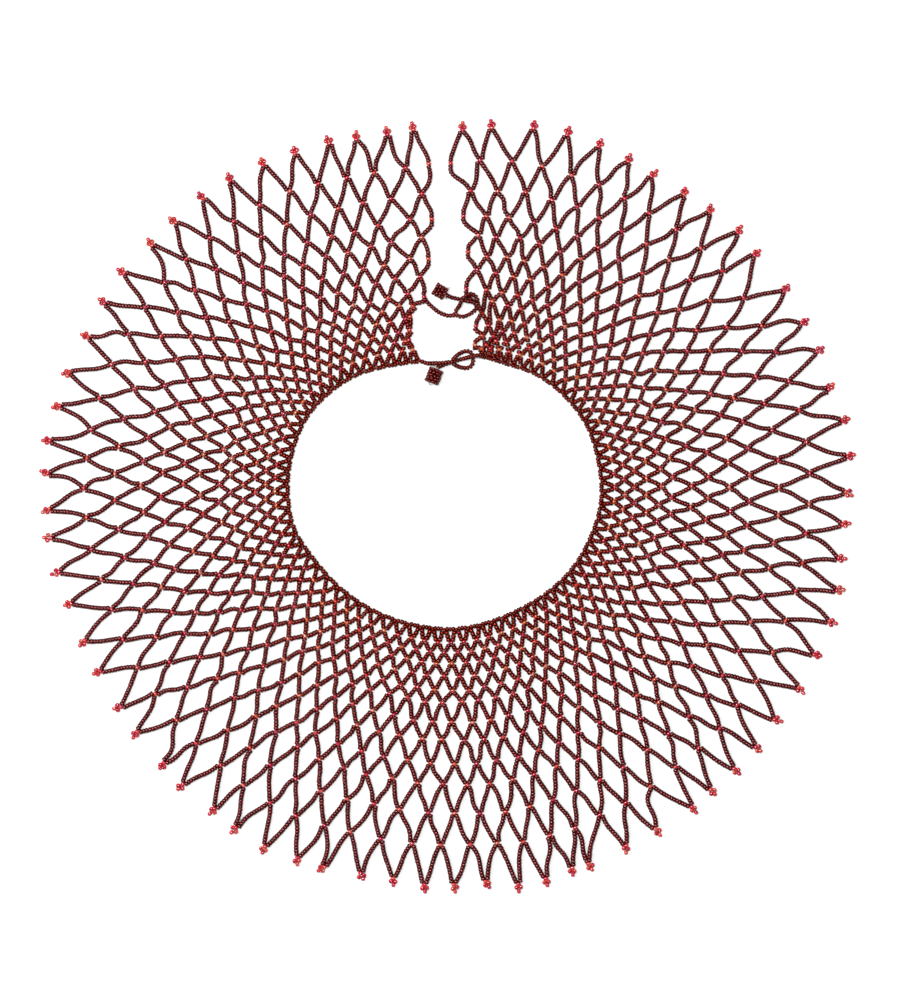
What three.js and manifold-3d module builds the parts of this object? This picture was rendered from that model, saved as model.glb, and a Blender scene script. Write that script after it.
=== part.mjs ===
import * as THREE from "three";
import Module from "manifold-3d";
import { mergeVertices } from "three/addons/utils/BufferGeometryUtils.js";

// Beaded net collar laid flat: an openwork band of bead strands round a neck opening,
// with a pointed picot at each outer tip, a rope neckband and two loop-and-toggle closures.
// Millimetres. +Z is up, the back opening is at +Y, the front of the collar at -Y.

// Driving sizes of the net.
const NECK_CENTRE = { x: -0.5, y: 3.7 };
const COLUMNS = 72;
const SECTORS = 12;
const SECTOR_COLUMNS = COLUMNS / SECTORS;
const FIRST_COLUMN = -0.5;
const LAST_COLUMN = 71.5;
const TIP_ROW = 13;
const FIRST_OPEN_ROW = 9;
const STRAND_WIDTH = 2.3;
const NET_THICKNESS = 1.9;
const SEAM = 0.36;

// Share of the way from the neckband to the tip at which each row of crossings lies.
const ROW_SHARE = [0, 0.052, 0.093, 0.135, 0.186, 0.24, 0.288, 0.365, 0.438, 0.527, 0.609, 0.723, 0.848, 1];
// How soon a strand takes up the bearing of its tip: below 1, most of the turn is near the neck.
const TURN_POWER = 0.7;

// The collar at each station: the bearing, in degrees clockwise from the back opening,
// and the distance from the neck centre, at the neckband and at the tips.
const STATIONS = [
  { column: -0.5, neckBearing: 12.5, neckRadius: 68, tipBearing: -1, tipRadius: 170.5 },
  { column: 3, neckBearing: 23.5, neckRadius: 68.5, tipBearing: 18, tipRadius: 176.5 },
  { column: 6, neckBearing: 35.5, neckRadius: 71, tipBearing: 32.5, tipRadius: 177 },
  { column: 9, neckBearing: 49.5, neckRadius: 72.5, tipBearing: 47.5, tipRadius: 181 },
  { column: 12, neckBearing: 62.5, neckRadius: 73, tipBearing: 63.5, tipRadius: 182 },
  { column: 15, neckBearing: 76, neckRadius: 72, tipBearing: 78.5, tipRadius: 184.5 },
  { column: 18, neckBearing: 90, neckRadius: 71, tipBearing: 93.5, tipRadius: 183 },
  { column: 21, neckBearing: 104, neckRadius: 68.5, tipBearing: 107.5, tipRadius: 183.5 },
  { column: 24, neckBearing: 118, neckRadius: 66, tipBearing: 123.5, tipRadius: 182 },
  { column: 27, neckBearing: 132.5, neckRadius: 63, tipBearing: 137.5, tipRadius: 180.5 },
  { column: 30, neckBearing: 147, neckRadius: 60.5, tipBearing: 152.5, tipRadius: 179.5 },
  { column: 33, neckBearing: 162.5, neckRadius: 59.5, tipBearing: 165.5, tipRadius: 179.5 },
  { column: 36, neckBearing: 178.5, neckRadius: 59.5, tipBearing: 178.5, tipRadius: 176.5 },
  { column: 39, neckBearing: 194.5, neckRadius: 59.5, tipBearing: 193.5, tipRadius: 176.5 },
  { column: 42, neckBearing: 212, neckRadius: 61, tipBearing: 207.5, tipRadius: 179 },
  { column: 45, neckBearing: 228.5, neckRadius: 63.5, tipBearing: 222.5, tipRadius: 177.5 },
  { column: 48, neckBearing: 245.5, neckRadius: 67, tipBearing: 238, tipRadius: 178.5 },
  { column: 51, neckBearing: 259, neckRadius: 71.5, tipBearing: 254, tipRadius: 179.5 },
  { column: 54, neckBearing: 273.5, neckRadius: 73.5, tipBearing: 269, tipRadius: 183 },
  { column: 57, neckBearing: 286.5, neckRadius: 74.5, tipBearing: 283.5, tipRadius: 183.5 },
  { column: 60, neckBearing: 300, neckRadius: 75, tipBearing: 300, tipRadius: 181 },
  { column: 63, neckBearing: 312, neckRadius: 73.5, tipBearing: 315.5, tipRadius: 179 },
  { column: 66, neckBearing: 324.5, neckRadius: 71, tipBearing: 331, tipRadius: 176 },
  { column: 69, neckBearing: 338, neckRadius: 67, tipBearing: 346, tipRadius: 170.5 },
  { column: 71.5, neckBearing: 349, neckRadius: 65, tipBearing: 359, tipRadius: 170.5 },
];

// Tips that lie well off their even place, in degrees of bearing.
const STRAY_TIPS = [
  { column: 10, turn: -1.4 },
  { column: 28, turn: -1 },
  { column: 31, turn: 2.2 },
  { column: 51, turn: 0.8 },
  { column: 68, turn: 1.2 },
  { column: 71, turn: -1.6 },
];

// The crossings beside the right-hand closure are drawn in towards the neck.
const GATHER = { share: 0.06, rows: 6, columns: 1.4 };
// Those at the left-hand end of the neckband are tucked in, by up to this many degrees.
const TUCK = { bearing: 4, rows: 6, columns: 0.8 };
// Slight unevenness of a hand-laid net: millimetres at a crossing, degrees and millimetres at a tip.
const UNEVEN = { crossing: 0.55, tipBearing: 0.5, tipRadius: 1.2 };

// Neckband rope: one row of beads round the neck.
const NECKBAND = { width: 2.2, height: 2, steps: 96 };
// A picot: half width of its pair of beads, where they sit and how far the end bead reaches.
const PICOT = { halfWidth: 2, pairAt: 1.7, endHalf: 0.9, endAt: 4.3 };

const STRAND_DIAMETER = 1.9;
const STRAND_SIDES = 6;
const STRAND_REST = 1;
const TOGGLE_SIDES = 12;
const TOGGLE_BORE = 2.4;

const COLOURS = {
  net: 0x4a0f14,
  neckband: 0x50100f,
  closure: 0x451013,
};

// Strand of the upper loop, from the left edge of the net, then once round its ring.
const UPPER_TAIL = [
  { x: -11.2, y: 96, z: 1 },
  { x: -10, y: 94.9, z: 1 },
  { x: -8.6, y: 93.6, z: 1 },
  { x: -6.6, y: 91.9, z: 1 },
  { x: -4.8, y: 90.4, z: 1 },
  { x: -2.4, y: 89.2, z: 1 },
  { x: 0, y: 88.5, z: 1 },
  { x: 2, y: 88.6, z: 1 },
  { x: 3.8, y: 89, z: 1 },
];
const UPPER_RING = [
  { x: 3.3, y: 89.6, z: 1 },
  { x: 4.6, y: 88.3, z: 1 },
  { x: 6.6, y: 87.8, z: 1 },
  { x: 8.6, y: 88.4, z: 1 },
  { x: 10.2, y: 89.9, z: 1 },
  { x: 11, y: 92.2, z: 1 },
  { x: 10.7, y: 94.4, z: 1 },
  { x: 10, y: 96.6, z: 1 },
  { x: 8.7, y: 98, z: 1.6 },
  { x: 6.9, y: 97.8, z: 2.8 },
  { x: 5.6, y: 96.2, z: 3.5 },
  { x: 5, y: 94.2, z: 3.4 },
  { x: 4.3, y: 92.4, z: 2.2 },
  { x: 3.6, y: 91, z: 1.3 },
];
// Stem of the upper toggle: over the ring's right side, under its left side, to the toggle.
const UPPER_STEM = [
  { x: 15, y: 90, z: 3.4 },
  { x: 13.2, y: 92.2, z: 3.4 },
  { x: 11.4, y: 93.9, z: 3.4 },
  { x: 9.6, y: 94.9, z: 3.4 },
  { x: 8.4, y: 95.3, z: 2.6 },
  { x: 7.2, y: 95.6, z: 1.6 },
  { x: 5.8, y: 95.9, z: 1 },
  { x: 4.2, y: 96.3, z: 1 },
  { x: 1.8, y: 96.8, z: 1.4 },
  { x: -0.5, y: 97.8, z: 2.2 },
];

// Strand of the lower loop, from the left end of the neckband, then once round its ring.
const LOWER_TAIL = [
  { x: -11.3, y: 67, z: 1 },
  { x: -9.8, y: 66.6, z: 1.6 },
  { x: -7.5, y: 66.5, z: 2.8 },
  { x: -5.1, y: 66.6, z: 3.5 },
  { x: -2.8, y: 66.7, z: 3.5 },
  { x: -0.9, y: 66.9, z: 3.5 },
  { x: 1.8, y: 67.2, z: 3.5 },
];
const LOWER_RING = [
  { x: 1.9, y: 67.2, z: 3.5 },
  { x: 2.9, y: 69, z: 3.2 },
  { x: 5, y: 70.9, z: 1.5 },
  { x: 7.6, y: 72.1, z: 1 },
  { x: 9.8, y: 72, z: 1 },
  { x: 11.1, y: 70.7, z: 1 },
  { x: 11.5, y: 68.8, z: 1 },
  { x: 11.4, y: 66.7, z: 1 },
  { x: 10.4, y: 65.1, z: 1 },
  { x: 8.6, y: 64.4, z: 1 },
  { x: 6.2, y: 64.6, z: 1.4 },
  { x: 3.7, y: 65.5, z: 2.6 },
];
// Stem of the lower toggle: from the right end of the neckband, over the ring, under the loop's tail.
const LOWER_STEM = [
  { x: 14.8, y: 70.3, z: 3.5 },
  { x: 12.8, y: 70, z: 3.5 },
  { x: 11, y: 69.7, z: 3.4 },
  { x: 9, y: 69.2, z: 2.4 },
  { x: 7.2, y: 68.7, z: 1.3 },
  { x: 5.2, y: 68.2, z: 1 },
  { x: 2.8, y: 67.4, z: 1 },
  { x: -0.9, y: 66.3, z: 1 },
  { x: -3.2, y: 65.4, z: 1.2 },
  { x: -4.4, y: 65, z: 2.2 },
];

// Toggles: tubes of beads lying on their sides. bearing is the axis, degrees from +X.
const TOGGLES = [
  { name: "toggle_upper", x: -3.7, y: 99.6, bearing: -30, length: 6, diameter: 6.4 },
  { name: "toggle_lower", x: -6.5, y: 60.7, bearing: 68.5, length: 7, diameter: 7 },
];

// A repeatable number from -1 to 1 for a crossing, different for each axis.
function unevenness(column, row, axis) {
  const turned = Math.sin(column * 12.9898 + row * 78.233 + axis * 37.719) * 437.585;
  return 2 * (turned - Math.floor(turned)) - 1;
}

// Cubic interpolation of one station value at a column.
function stationValue(column, key) {
  const last = STATIONS.length - 1;
  let i = 0;
  while (i < last - 1 && column > STATIONS[i + 1].column) i += 1;
  const [a, b] = [STATIONS[i], STATIONS[i + 1]];
  const before = STATIONS[Math.max(i - 1, 0)];
  const after = STATIONS[Math.min(i + 2, last)];
  const span = b.column - a.column;
  const slopeA = ((b[key] - before[key]) / (b.column - before.column)) * span;
  const slopeB = ((after[key] - a[key]) / (after.column - a.column)) * span;
  const t = (column - a.column) / span;
  const rise = b[key] - a[key];
  return a[key] + t * slopeA + t * t * (3 * rise - 2 * slopeA - slopeB) + t * t * t * (slopeA + slopeB - 2 * rise);
}

// A point at a bearing and distance from the neck centre.
function polar(bearing, radius) {
  const angle = THREE.MathUtils.degToRad(bearing);
  return new THREE.Vector2(NECK_CENTRE.x + radius * Math.sin(angle), NECK_CENTRE.y + radius * Math.cos(angle));
}

// Bearing and distance of the neckband's centre line at a column, moved out by a distance.
function neckPoint(column, out) {
  return polar(stationValue(column, "neckBearing"), stationValue(column, "neckRadius") + out);
}

// The crossing of a column and a row.
function crossing(column, row) {
  const gather = row < GATHER.rows ? GATHER.share * Math.sin((Math.PI * row) / GATHER.rows) : 0;
  const tuck = row < TUCK.rows ? TUCK.bearing * Math.sin((Math.PI * row) / TUCK.rows) : 0;
  const share = ROW_SHARE[row] - gather * Math.exp(-(column - FIRST_COLUMN) / GATHER.columns);
  const turn = share ** TURN_POWER;
  const neck = { bearing: stationValue(column, "neckBearing"), radius: stationValue(column, "neckRadius") };
  const tip = { bearing: stationValue(column, "tipBearing"), radius: stationValue(column, "tipRadius") };
  let bearing = neck.bearing + (tip.bearing - neck.bearing) * turn;
  bearing -= tuck * Math.exp(-(LAST_COLUMN - column) / TUCK.columns);
  let radius = neck.radius + (tip.radius - neck.radius) * share;
  if (row === TIP_ROW) {
    const stray = STRAY_TIPS.find((tip) => tip.column === column);
    bearing += UNEVEN.tipBearing * unevenness(column, row, 0) + (stray ? stray.turn : 0);
    radius += UNEVEN.tipRadius * unevenness(column, row, 1);
    return polar(bearing, radius);
  }
  const shift = UNEVEN.crossing * Math.min(1, row / 6);
  const point = polar(bearing, radius);
  point.x += shift * unevenness(column, row, 0);
  point.y += shift * unevenness(column, row, 1);
  return point;
}

// Middle of the strand between two crossings one row apart, bowed by the strand's run on either side.
function strandMiddle(column, row, side) {
  const a = crossing(column, row);
  const b = crossing(column + side / 2, row + 1);
  const hasBefore = row > 0 && column - side / 2 >= FIRST_COLUMN && column - side / 2 <= LAST_COLUMN;
  const hasAfter = row + 1 < TIP_ROW && column + side >= FIRST_COLUMN && column + side <= LAST_COLUMN;
  const before = hasBefore ? crossing(column - side / 2, row - 1) : a.clone().multiplyScalar(2).sub(b);
  const after = hasAfter ? crossing(column + side, row + 2) : b.clone().multiplyScalar(2).sub(a);
  const slopeA = b.clone().sub(before).multiplyScalar(0.5);
  const slopeB = after.clone().sub(a).multiplyScalar(0.5);
  return a.clone().add(b).multiplyScalar(0.5).add(slopeA.sub(slopeB).multiplyScalar(0.125));
}

// Moves a path sideways, to the left of its travel, keeping its corners sharp.
function offsetPath(points, distance, closed) {
  const n = points.length;
  return points.map((point, i) => {
    const before = closed ? points[(i + n - 1) % n] : points[Math.max(i - 1, 0)];
    const after = closed ? points[(i + 1) % n] : points[Math.min(i + 1, n - 1)];
    const into = point.clone().sub(before);
    const away = after.clone().sub(point);
    if (into.lengthSq() === 0) into.copy(away);
    if (away.lengthSq() === 0) away.copy(into);
    const left = new THREE.Vector2(-into.y, into.x).normalize();
    left.add(new THREE.Vector2(-away.y, away.x).normalize()).normalize();
    const lean = left.dot(new THREE.Vector2(-into.y, into.x).normalize());
    return point.clone().add(left.multiplyScalar(distance / Math.max(lean, 0.3)));
  });
}

// The hole inside one diamond, which is centred on a column and a row.
function diamondHole(column, row) {
  const inner = crossing(column, row - 1);
  const left = crossing(column - 0.5, row);
  const outer = crossing(column, row + 1);
  const right = crossing(column + 0.5, row);
  const bowed = row >= TIP_ROW - 2;
  const loop = bowed
    ? [
        inner,
        strandMiddle(column, row - 1, -1),
        left,
        strandMiddle(column - 0.5, row, 1),
        outer,
        strandMiddle(column + 0.5, row, -1),
        right,
        strandMiddle(column, row - 1, 1),
      ]
    : [inner, left, outer, right];
  return offsetPath(loop, -STRAND_WIDTH / 2, true);
}

// Zig-zag run of crossings from the neckband to the outermost valley.
function zigzag(evenColumn, oddColumn) {
  const run = [];
  for (let row = 0; row < TIP_ROW; row += 1) run.push(crossing(row % 2 ? oddColumn : evenColumn, row));
  return run;
}

// One unit away from the neck centre, at a point.
function outward(point) {
  return new THREE.Vector2(point.x - NECK_CENTRE.x, point.y - NECK_CENTRE.y).normalize();
}

// The five-sided end of a picot, from its right side to its left as seen from the neck.
function picotEnd(column) {
  const tip = crossing(column, TIP_ROW);
  const out = outward(tip);
  const clockwise = new THREE.Vector2(out.y, -out.x);
  const at = (across, along) => tip.clone().addScaledVector(clockwise, across).addScaledVector(out, along);
  return [
    at(PICOT.halfWidth, PICOT.pairAt),
    at(PICOT.endHalf, PICOT.endAt),
    at(-PICOT.endHalf, PICOT.endAt),
    at(-PICOT.halfWidth, PICOT.pairAt),
  ];
}

// Outer edge of a sector, anticlockwise from its last valley to its first.
function scallops(firstColumn, lastColumn) {
  const edge = [];
  for (let column = lastColumn; column >= firstColumn; column -= 1) {
    const tip = crossing(column, TIP_ROW);
    const rightLeg = [crossing(column + 0.5, TIP_ROW - 1), strandMiddle(column + 0.5, TIP_ROW - 1, -1), tip];
    const leftLeg = [tip, strandMiddle(column - 0.5, TIP_ROW - 1, 1), crossing(column - 0.5, TIP_ROW - 1)];
    const [, rightMiddle] = offsetPath(rightLeg, -STRAND_WIDTH / 2, false);
    const [, leftMiddle] = offsetPath(leftLeg, -STRAND_WIDTH / 2, false);
    edge.push(rightMiddle, ...picotEnd(column), leftMiddle);
    if (column > firstColumn) edge.push(valley(column - 0.5));
  }
  return edge;
}

// The outer corner between two neighbouring tips, moved sideways for a seam.
function valley(column, sideways = 0) {
  const point = crossing(column, TIP_ROW - 1);
  const out = outward(point);
  const clockwise = new THREE.Vector2(out.y, -out.x);
  return point.clone().addScaledVector(out, STRAND_WIDTH * 0.9).addScaledVector(clockwise, sideways);
}

// Outline of one sector of the net, anticlockwise.
function sectorOutline(index) {
  const first = index * SECTOR_COLUMNS;
  const last = first + SECTOR_COLUMNS - 1;
  const leftEdge = index === 0;
  const rightEdge = index === SECTORS - 1;
  const left = zigzag(first - 0.5, first);
  const right = zigzag(last + 0.5, rightEdge ? last : last + 1);
  const rightSide = offsetPath(right, rightEdge ? -STRAND_WIDTH / 2 : SEAM / 2, false).slice(1);
  const leftSide = offsetPath(left, leftEdge ? STRAND_WIDTH / 2 : -SEAM / 2, false).slice(1);
  const innerGap = NECKBAND.width / 2 + SEAM;
  const inner = [];
  for (let column = first - 0.5; column <= last + 0.5; column += 1) inner.push(neckPoint(column, innerGap));
  inner[0] = seamStart(first - 0.5, leftEdge ? -STRAND_WIDTH / 2 : SEAM / 2, innerGap);
  inner[inner.length - 1] = seamStart(last + 0.5, rightEdge ? STRAND_WIDTH / 2 : -SEAM / 2, innerGap);
  const outer = scallops(first, last);
  if (!rightEdge) rightSide[rightSide.length - 1] = valley(last + 0.5, -SEAM / 2);
  if (!leftEdge) leftSide[leftSide.length - 1] = valley(first - 0.5, SEAM / 2);
  return [...inner.reverse(), ...leftSide, ...outer.reverse(), ...rightSide.reverse()].reverse();
}

// Where a seam meets the neckband's gap, moved sideways (clockwise when positive).
function seamStart(column, sideways, out) {
  const point = neckPoint(column, out);
  const away = outward(point);
  return point.addScaledVector(new THREE.Vector2(away.y, -away.x), sideways);
}

// One sector of the net: the outer rows of diamonds are cut through.
function netSector(index) {
  const first = index * SECTOR_COLUMNS;
  const shape = new THREE.Shape(sectorOutline(index));
  for (let row = FIRST_OPEN_ROW; row < TIP_ROW; row += 1) {
    const half = row % 2 ? 0.5 : 0;
    for (let column = first + half; column < first + SECTOR_COLUMNS; column += 1) {
      if (column + 0.5 <= LAST_COLUMN) shape.holes.push(new THREE.Path(diamondHole(column, row)));
    }
  }
  return new THREE.ExtrudeGeometry(shape, { depth: NET_THICKNESS, bevelEnabled: false, steps: 1 });
}

// A closed solid swept along points, with a regular section standing on a flat side.
function sweep(points, width, height, sides, joined = false) {
  const count = points.length;
  const positions = [];
  const indices = [];
  points.forEach((point, i) => {
    const before = joined ? points[(i + count - 1) % count] : points[Math.max(i - 1, 0)];
    const after = joined ? points[(i + 1) % count] : points[Math.min(i + 1, count - 1)];
    const along = after.clone().sub(before).normalize();
    const across = new THREE.Vector3(along.y, -along.x, 0).normalize();
    const up = new THREE.Vector3().crossVectors(across, along).normalize();
    for (let k = 0; k < sides; k += 1) {
      const angle = (2 * Math.PI * (k + 0.5)) / sides - Math.PI / 2;
      const vertex = point.clone();
      vertex.addScaledVector(across, (Math.cos(angle) * width) / 2);
      vertex.addScaledVector(up, (Math.sin(angle) * height) / 2 / Math.cos(Math.PI / sides));
      positions.push(vertex.x, vertex.y, vertex.z);
    }
  });
  const rings = joined ? count : count - 1;
  for (let i = 0; i < rings; i += 1) {
    for (let k = 0; k < sides; k += 1) {
      const [a, b] = [i * sides + k, i * sides + ((k + 1) % sides)];
      const [c, d] = [((i + 1) % count) * sides + k, ((i + 1) % count) * sides + ((k + 1) % sides)];
      indices.push(a, d, b, a, c, d);
    }
  }
  if (!joined) {
    for (let k = 1; k < sides - 1; k += 1) {
      indices.push(0, k, k + 1);
      indices.push((count - 1) * sides, (count - 1) * sides + k + 1, (count - 1) * sides + k);
    }
  }
  const geometry = new THREE.BufferGeometry();
  geometry.setAttribute("position", new THREE.Float32BufferAttribute(positions, 3));
  geometry.setIndex(indices);
  return geometry;
}

// A smooth run of points through a short table of places.
function smoothRun(table, steps, joined = false) {
  const places = table.map((place) => new THREE.Vector3(place.x, place.y, place.z));
  const curve = new THREE.CatmullRomCurve3(places, joined, "catmullrom", 0.5);
  const points = curve.getSpacedPoints(steps).slice(0, joined ? steps : steps + 1);
  for (const point of points) point.z = Math.max(point.z, STRAND_REST);
  return points;
}

// The rope round the neck, open at the back.
function neckband() {
  const points = [];
  for (let i = 0; i <= NECKBAND.steps; i += 1) {
    const column = FIRST_COLUMN + ((LAST_COLUMN - FIRST_COLUMN) * i) / NECKBAND.steps;
    const point = neckPoint(column, 0);
    points.push(new THREE.Vector3(point.x, point.y, NECKBAND.height / 2));
  }
  return sweep(points, NECKBAND.width, NECKBAND.height, 6);
}

// Joins solids into one.
function joined(geometries) {
  const solids = geometries.map((geometry) => {
    const merged = mergeVertices(geometry, 1e-4);
    return new wasm.Manifold(
      new wasm.Mesh({
        numProp: 3,
        vertProperties: new Float32Array(merged.attributes.position.array),
        triVerts: new Uint32Array(merged.index.array),
      }),
    );
  });
  const mesh = wasm.Manifold.union(solids).getMesh();
  const geometry = new THREE.BufferGeometry();
  geometry.setAttribute("position", new THREE.BufferAttribute(mesh.vertProperties, 3));
  geometry.setIndex(new THREE.BufferAttribute(mesh.triVerts, 1));
  return geometry;
}

// A closure loop: its strand and the ring at the end of it.
function loop(tail, ring) {
  const strand = sweep(smoothRun(tail, 16), STRAND_DIAMETER, STRAND_DIAMETER, STRAND_SIDES);
  const round = sweep(smoothRun(ring, 32, true), STRAND_DIAMETER, STRAND_DIAMETER, STRAND_SIDES, true);
  return joined([strand, round]);
}

// A stem of beads between the collar and its toggle.
function stem(table) {
  return sweep(smoothRun(table, 24), STRAND_DIAMETER, STRAND_DIAMETER, STRAND_SIDES);
}

// A toggle: an open tube lying on one of its flats.
function toggle(size) {
  const outer = size.diameter / 2;
  const inner = TOGGLE_BORE / 2;
  const half = size.length / 2;
  const profile = [
    new THREE.Vector2(inner, -half),
    new THREE.Vector2(outer, -half),
    new THREE.Vector2(outer, half),
    new THREE.Vector2(inner, half),
    new THREE.Vector2(inner, -half),
  ];
  const geometry = new THREE.LatheGeometry(profile, TOGGLE_SIDES);
  geometry.rotateY(Math.PI / TOGGLE_SIDES);
  geometry.rotateZ(THREE.MathUtils.degToRad(size.bearing - 90));
  geometry.translate(size.x, size.y, outer * Math.cos(Math.PI / TOGGLE_SIDES));
  return geometry;
}

const wasm = await Module();
wasm.setup();

// The middle of the collar's outline, which becomes the origin.
const MIDDLE = { x: -0.16, y: 1.41 };

const collar = new THREE.Group();

// Adds one named piece to the collar.
function add(name, geometry, colour) {
  geometry.translate(-MIDDLE.x, -MIDDLE.y, 0);
  const mesh = new THREE.Mesh(geometry, new THREE.MeshStandardMaterial({ color: colour, roughness: 0.3 }));
  mesh.name = name;
  collar.add(mesh);
}

for (let index = 0; index < SECTORS; index += 1) {
  add(`net_${String(index + 1).padStart(2, "0")}`, netSector(index), COLOURS.net);
}
add("neckband", neckband(), COLOURS.neckband);
add("loop_upper", loop(UPPER_TAIL, UPPER_RING), COLOURS.closure);
add("stem_upper", stem(UPPER_STEM), COLOURS.closure);
add("loop_lower", loop(LOWER_TAIL, LOWER_RING), COLOURS.closure);
add("stem_lower", stem(LOWER_STEM), COLOURS.closure);
for (const size of TOGGLES) add(size.name, toggle(size), COLOURS.closure);

export default collar;
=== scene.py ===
"""Beaded net collar laid flat on a white table.

Every bead of the collar is made here: the strands and crossings of the net, the picots at its
tips, the rope round the neck and the two loop-and-toggle closures. Sizes in the classes are in
millimetres, and the meshes are in metres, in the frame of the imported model.
"""

import logging
import math
from dataclasses import dataclass, field
from enum import Enum

import bpy
import numpy as np
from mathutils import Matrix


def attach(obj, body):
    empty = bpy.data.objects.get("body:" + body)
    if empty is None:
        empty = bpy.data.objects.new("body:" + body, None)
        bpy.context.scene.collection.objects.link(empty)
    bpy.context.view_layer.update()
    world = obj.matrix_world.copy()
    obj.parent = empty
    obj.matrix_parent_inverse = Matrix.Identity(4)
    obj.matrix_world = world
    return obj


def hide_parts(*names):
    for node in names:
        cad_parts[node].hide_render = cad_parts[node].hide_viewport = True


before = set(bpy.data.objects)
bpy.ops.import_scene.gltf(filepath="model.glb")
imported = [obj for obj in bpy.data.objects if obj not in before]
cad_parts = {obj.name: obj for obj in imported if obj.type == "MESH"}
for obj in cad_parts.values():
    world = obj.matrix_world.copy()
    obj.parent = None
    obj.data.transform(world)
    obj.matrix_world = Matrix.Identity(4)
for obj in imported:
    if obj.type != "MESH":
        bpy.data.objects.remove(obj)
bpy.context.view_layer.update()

MM = 0.001
MIDDLE = np.array([-0.16, 1.41])  # middle of the collar's outline, which is the origin
TABLE_TOP = 0.0

Array = np.ndarray
Point = tuple[float, float, float]
Places = tuple[Point, ...]
Colour = tuple[float, float, float]
Stops = tuple[tuple[float, Colour], ...]
Materials = list[bpy.types.Material]
Socket = bpy.types.NodeSocket
LOG = logging.getLogger("collar")


class Glass(Enum):
    """Which glass a bead is pressed from. The value is its place among a mesh's materials."""

    DARK = 0
    CLEAR_RED = 1
    THREAD = 2


def unit(rows: Array) -> Array:
    """Vectors along the last axis, each divided by its own length."""
    return rows / np.maximum(np.linalg.norm(rows, axis=-1, keepdims=True), 1e-9)


def cubic(t: Array, start: Array, rise: Array, slope_a: Array, slope_b: Array) -> Array:
    """The cubic that leaves a start with one slope and arrives after a rise with another.

    It is start + t * slope_a + t squared * (3 * rise - 2 * slope_a - slope_b)
    + t cubed * (slope_a + slope_b - 2 * rise).

    Args:
        t: Share of the way, from 0 to 1.
        start: Value or point at the start.
        rise: What it gains by the end.
        slope_a: Slope at the start.
        slope_b: Slope at the end.

    Returns:
        The values or points.
    """
    bend, turn = 3 * rise - 2 * slope_a - slope_b, slope_a + slope_b - 2 * rise
    return start + t * slope_a + t**2 * bend + t**3 * turn


def side_frames(axes: Array) -> tuple[Array, Array]:
    """Two directions square to each axis.

    The first is the axis crossed with straight up, or with +X where the axis itself stands up,
    and the second is the axis crossed with the first.

    Args:
        axes: Unit vectors, one a row.

    Returns:
        The two sets of unit vectors, so that (first, second, axis) is right-handed.
    """
    upright = np.abs(axes[..., 2:3]) > 0.9
    reference = np.where(upright, np.array([1.0, 0, 0]), np.array([0, 0, 1.0]))
    first = unit(np.cross(reference, axes))
    return first, np.cross(axes, first)


@dataclass
class BeadRow:
    """Beads in millimetres, their reach 0 at the neck and 1 at the tips; one value may serve all."""

    centres: Array
    axes: Array
    lengths: Array | float
    diameters: Array | float
    glass: Array | Glass
    reach: Array | float = 0.5

    def __post_init__(self) -> None:
        """Gives every bead its own values and brings the directions of the holes to length one."""
        whole = np.ones(len(self.centres))
        self.axes = unit(self.axes)
        self.lengths, self.diameters = whole * self.lengths, whole * self.diameters
        self.reach = whole * self.reach
        if isinstance(self.glass, Glass):
            self.glass = np.full(len(whole), self.glass.value)

    @classmethod
    def joined(cls, rows: "list[BeadRow]") -> "BeadRow":
        """One row with the beads of several, one after the other."""
        return cls(*(np.concatenate([getattr(r, name) for r in rows]) for name in cls.__dataclass_fields__))


@dataclass
class MeshParts:
    """Vertices, faces and per-vertex values gathered for one mesh."""

    points: list[Array] = field(default_factory=list)
    quads: list[Array] = field(default_factory=list)
    quad_glass: list[Array] = field(default_factory=list)
    triangles: list[Array] = field(default_factory=list)
    tone: list[Array] = field(default_factory=list)
    reach: list[Array] = field(default_factory=list)
    # share of painted shade at the ends of each bead's hole, one value a vertex
    mouth_shade: list[Array] = field(default_factory=list)
    count: int = 0

    def add_rings(
        self, points: Array, shades: tuple[Array | float, ...], glass: Array, closed: bool
    ) -> Array:
        """Adds shapes made of rings of vertices, with a face of four corners between neighbours.

        Args:
            points: Vertices in millimetres, as shapes x rings x sides x 3.
            shades: Tone, reach and share of painted shade at the hole's ends for each vertex, or values that
                spread over them.
            glass: Each shape's place among the materials.
            closed: Whether the last ring is joined to the first.

        Returns:
            The number of each shape's first vertex.
        """
        shape = points.shape[:3]
        count, rings, sides = shape
        self.points.append(points.reshape(-1, 3))
        for kept, shade in zip((self.tone, self.reach, self.mouth_shade), shades):
            kept.append(np.broadcast_to(shade, shape).ravel())
        first = self.count + np.arange(count)[:, None, None] * rings * sides
        self.count += count * rings * sides
        ring = np.arange(rings if closed else rings - 1)[:, None] * sides
        after = (ring + sides) % (rings * sides)
        here, there = np.arange(sides)[None], (np.arange(sides)[None] + 1) % sides
        faces = np.stack([ring + here, ring + there, after + there, after + here], -1).reshape(-1, 4)
        self.quads.append((faces[None] + first).reshape(-1, 4))
        self.quad_glass.append(np.repeat(glass, len(faces)))
        return first


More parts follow.
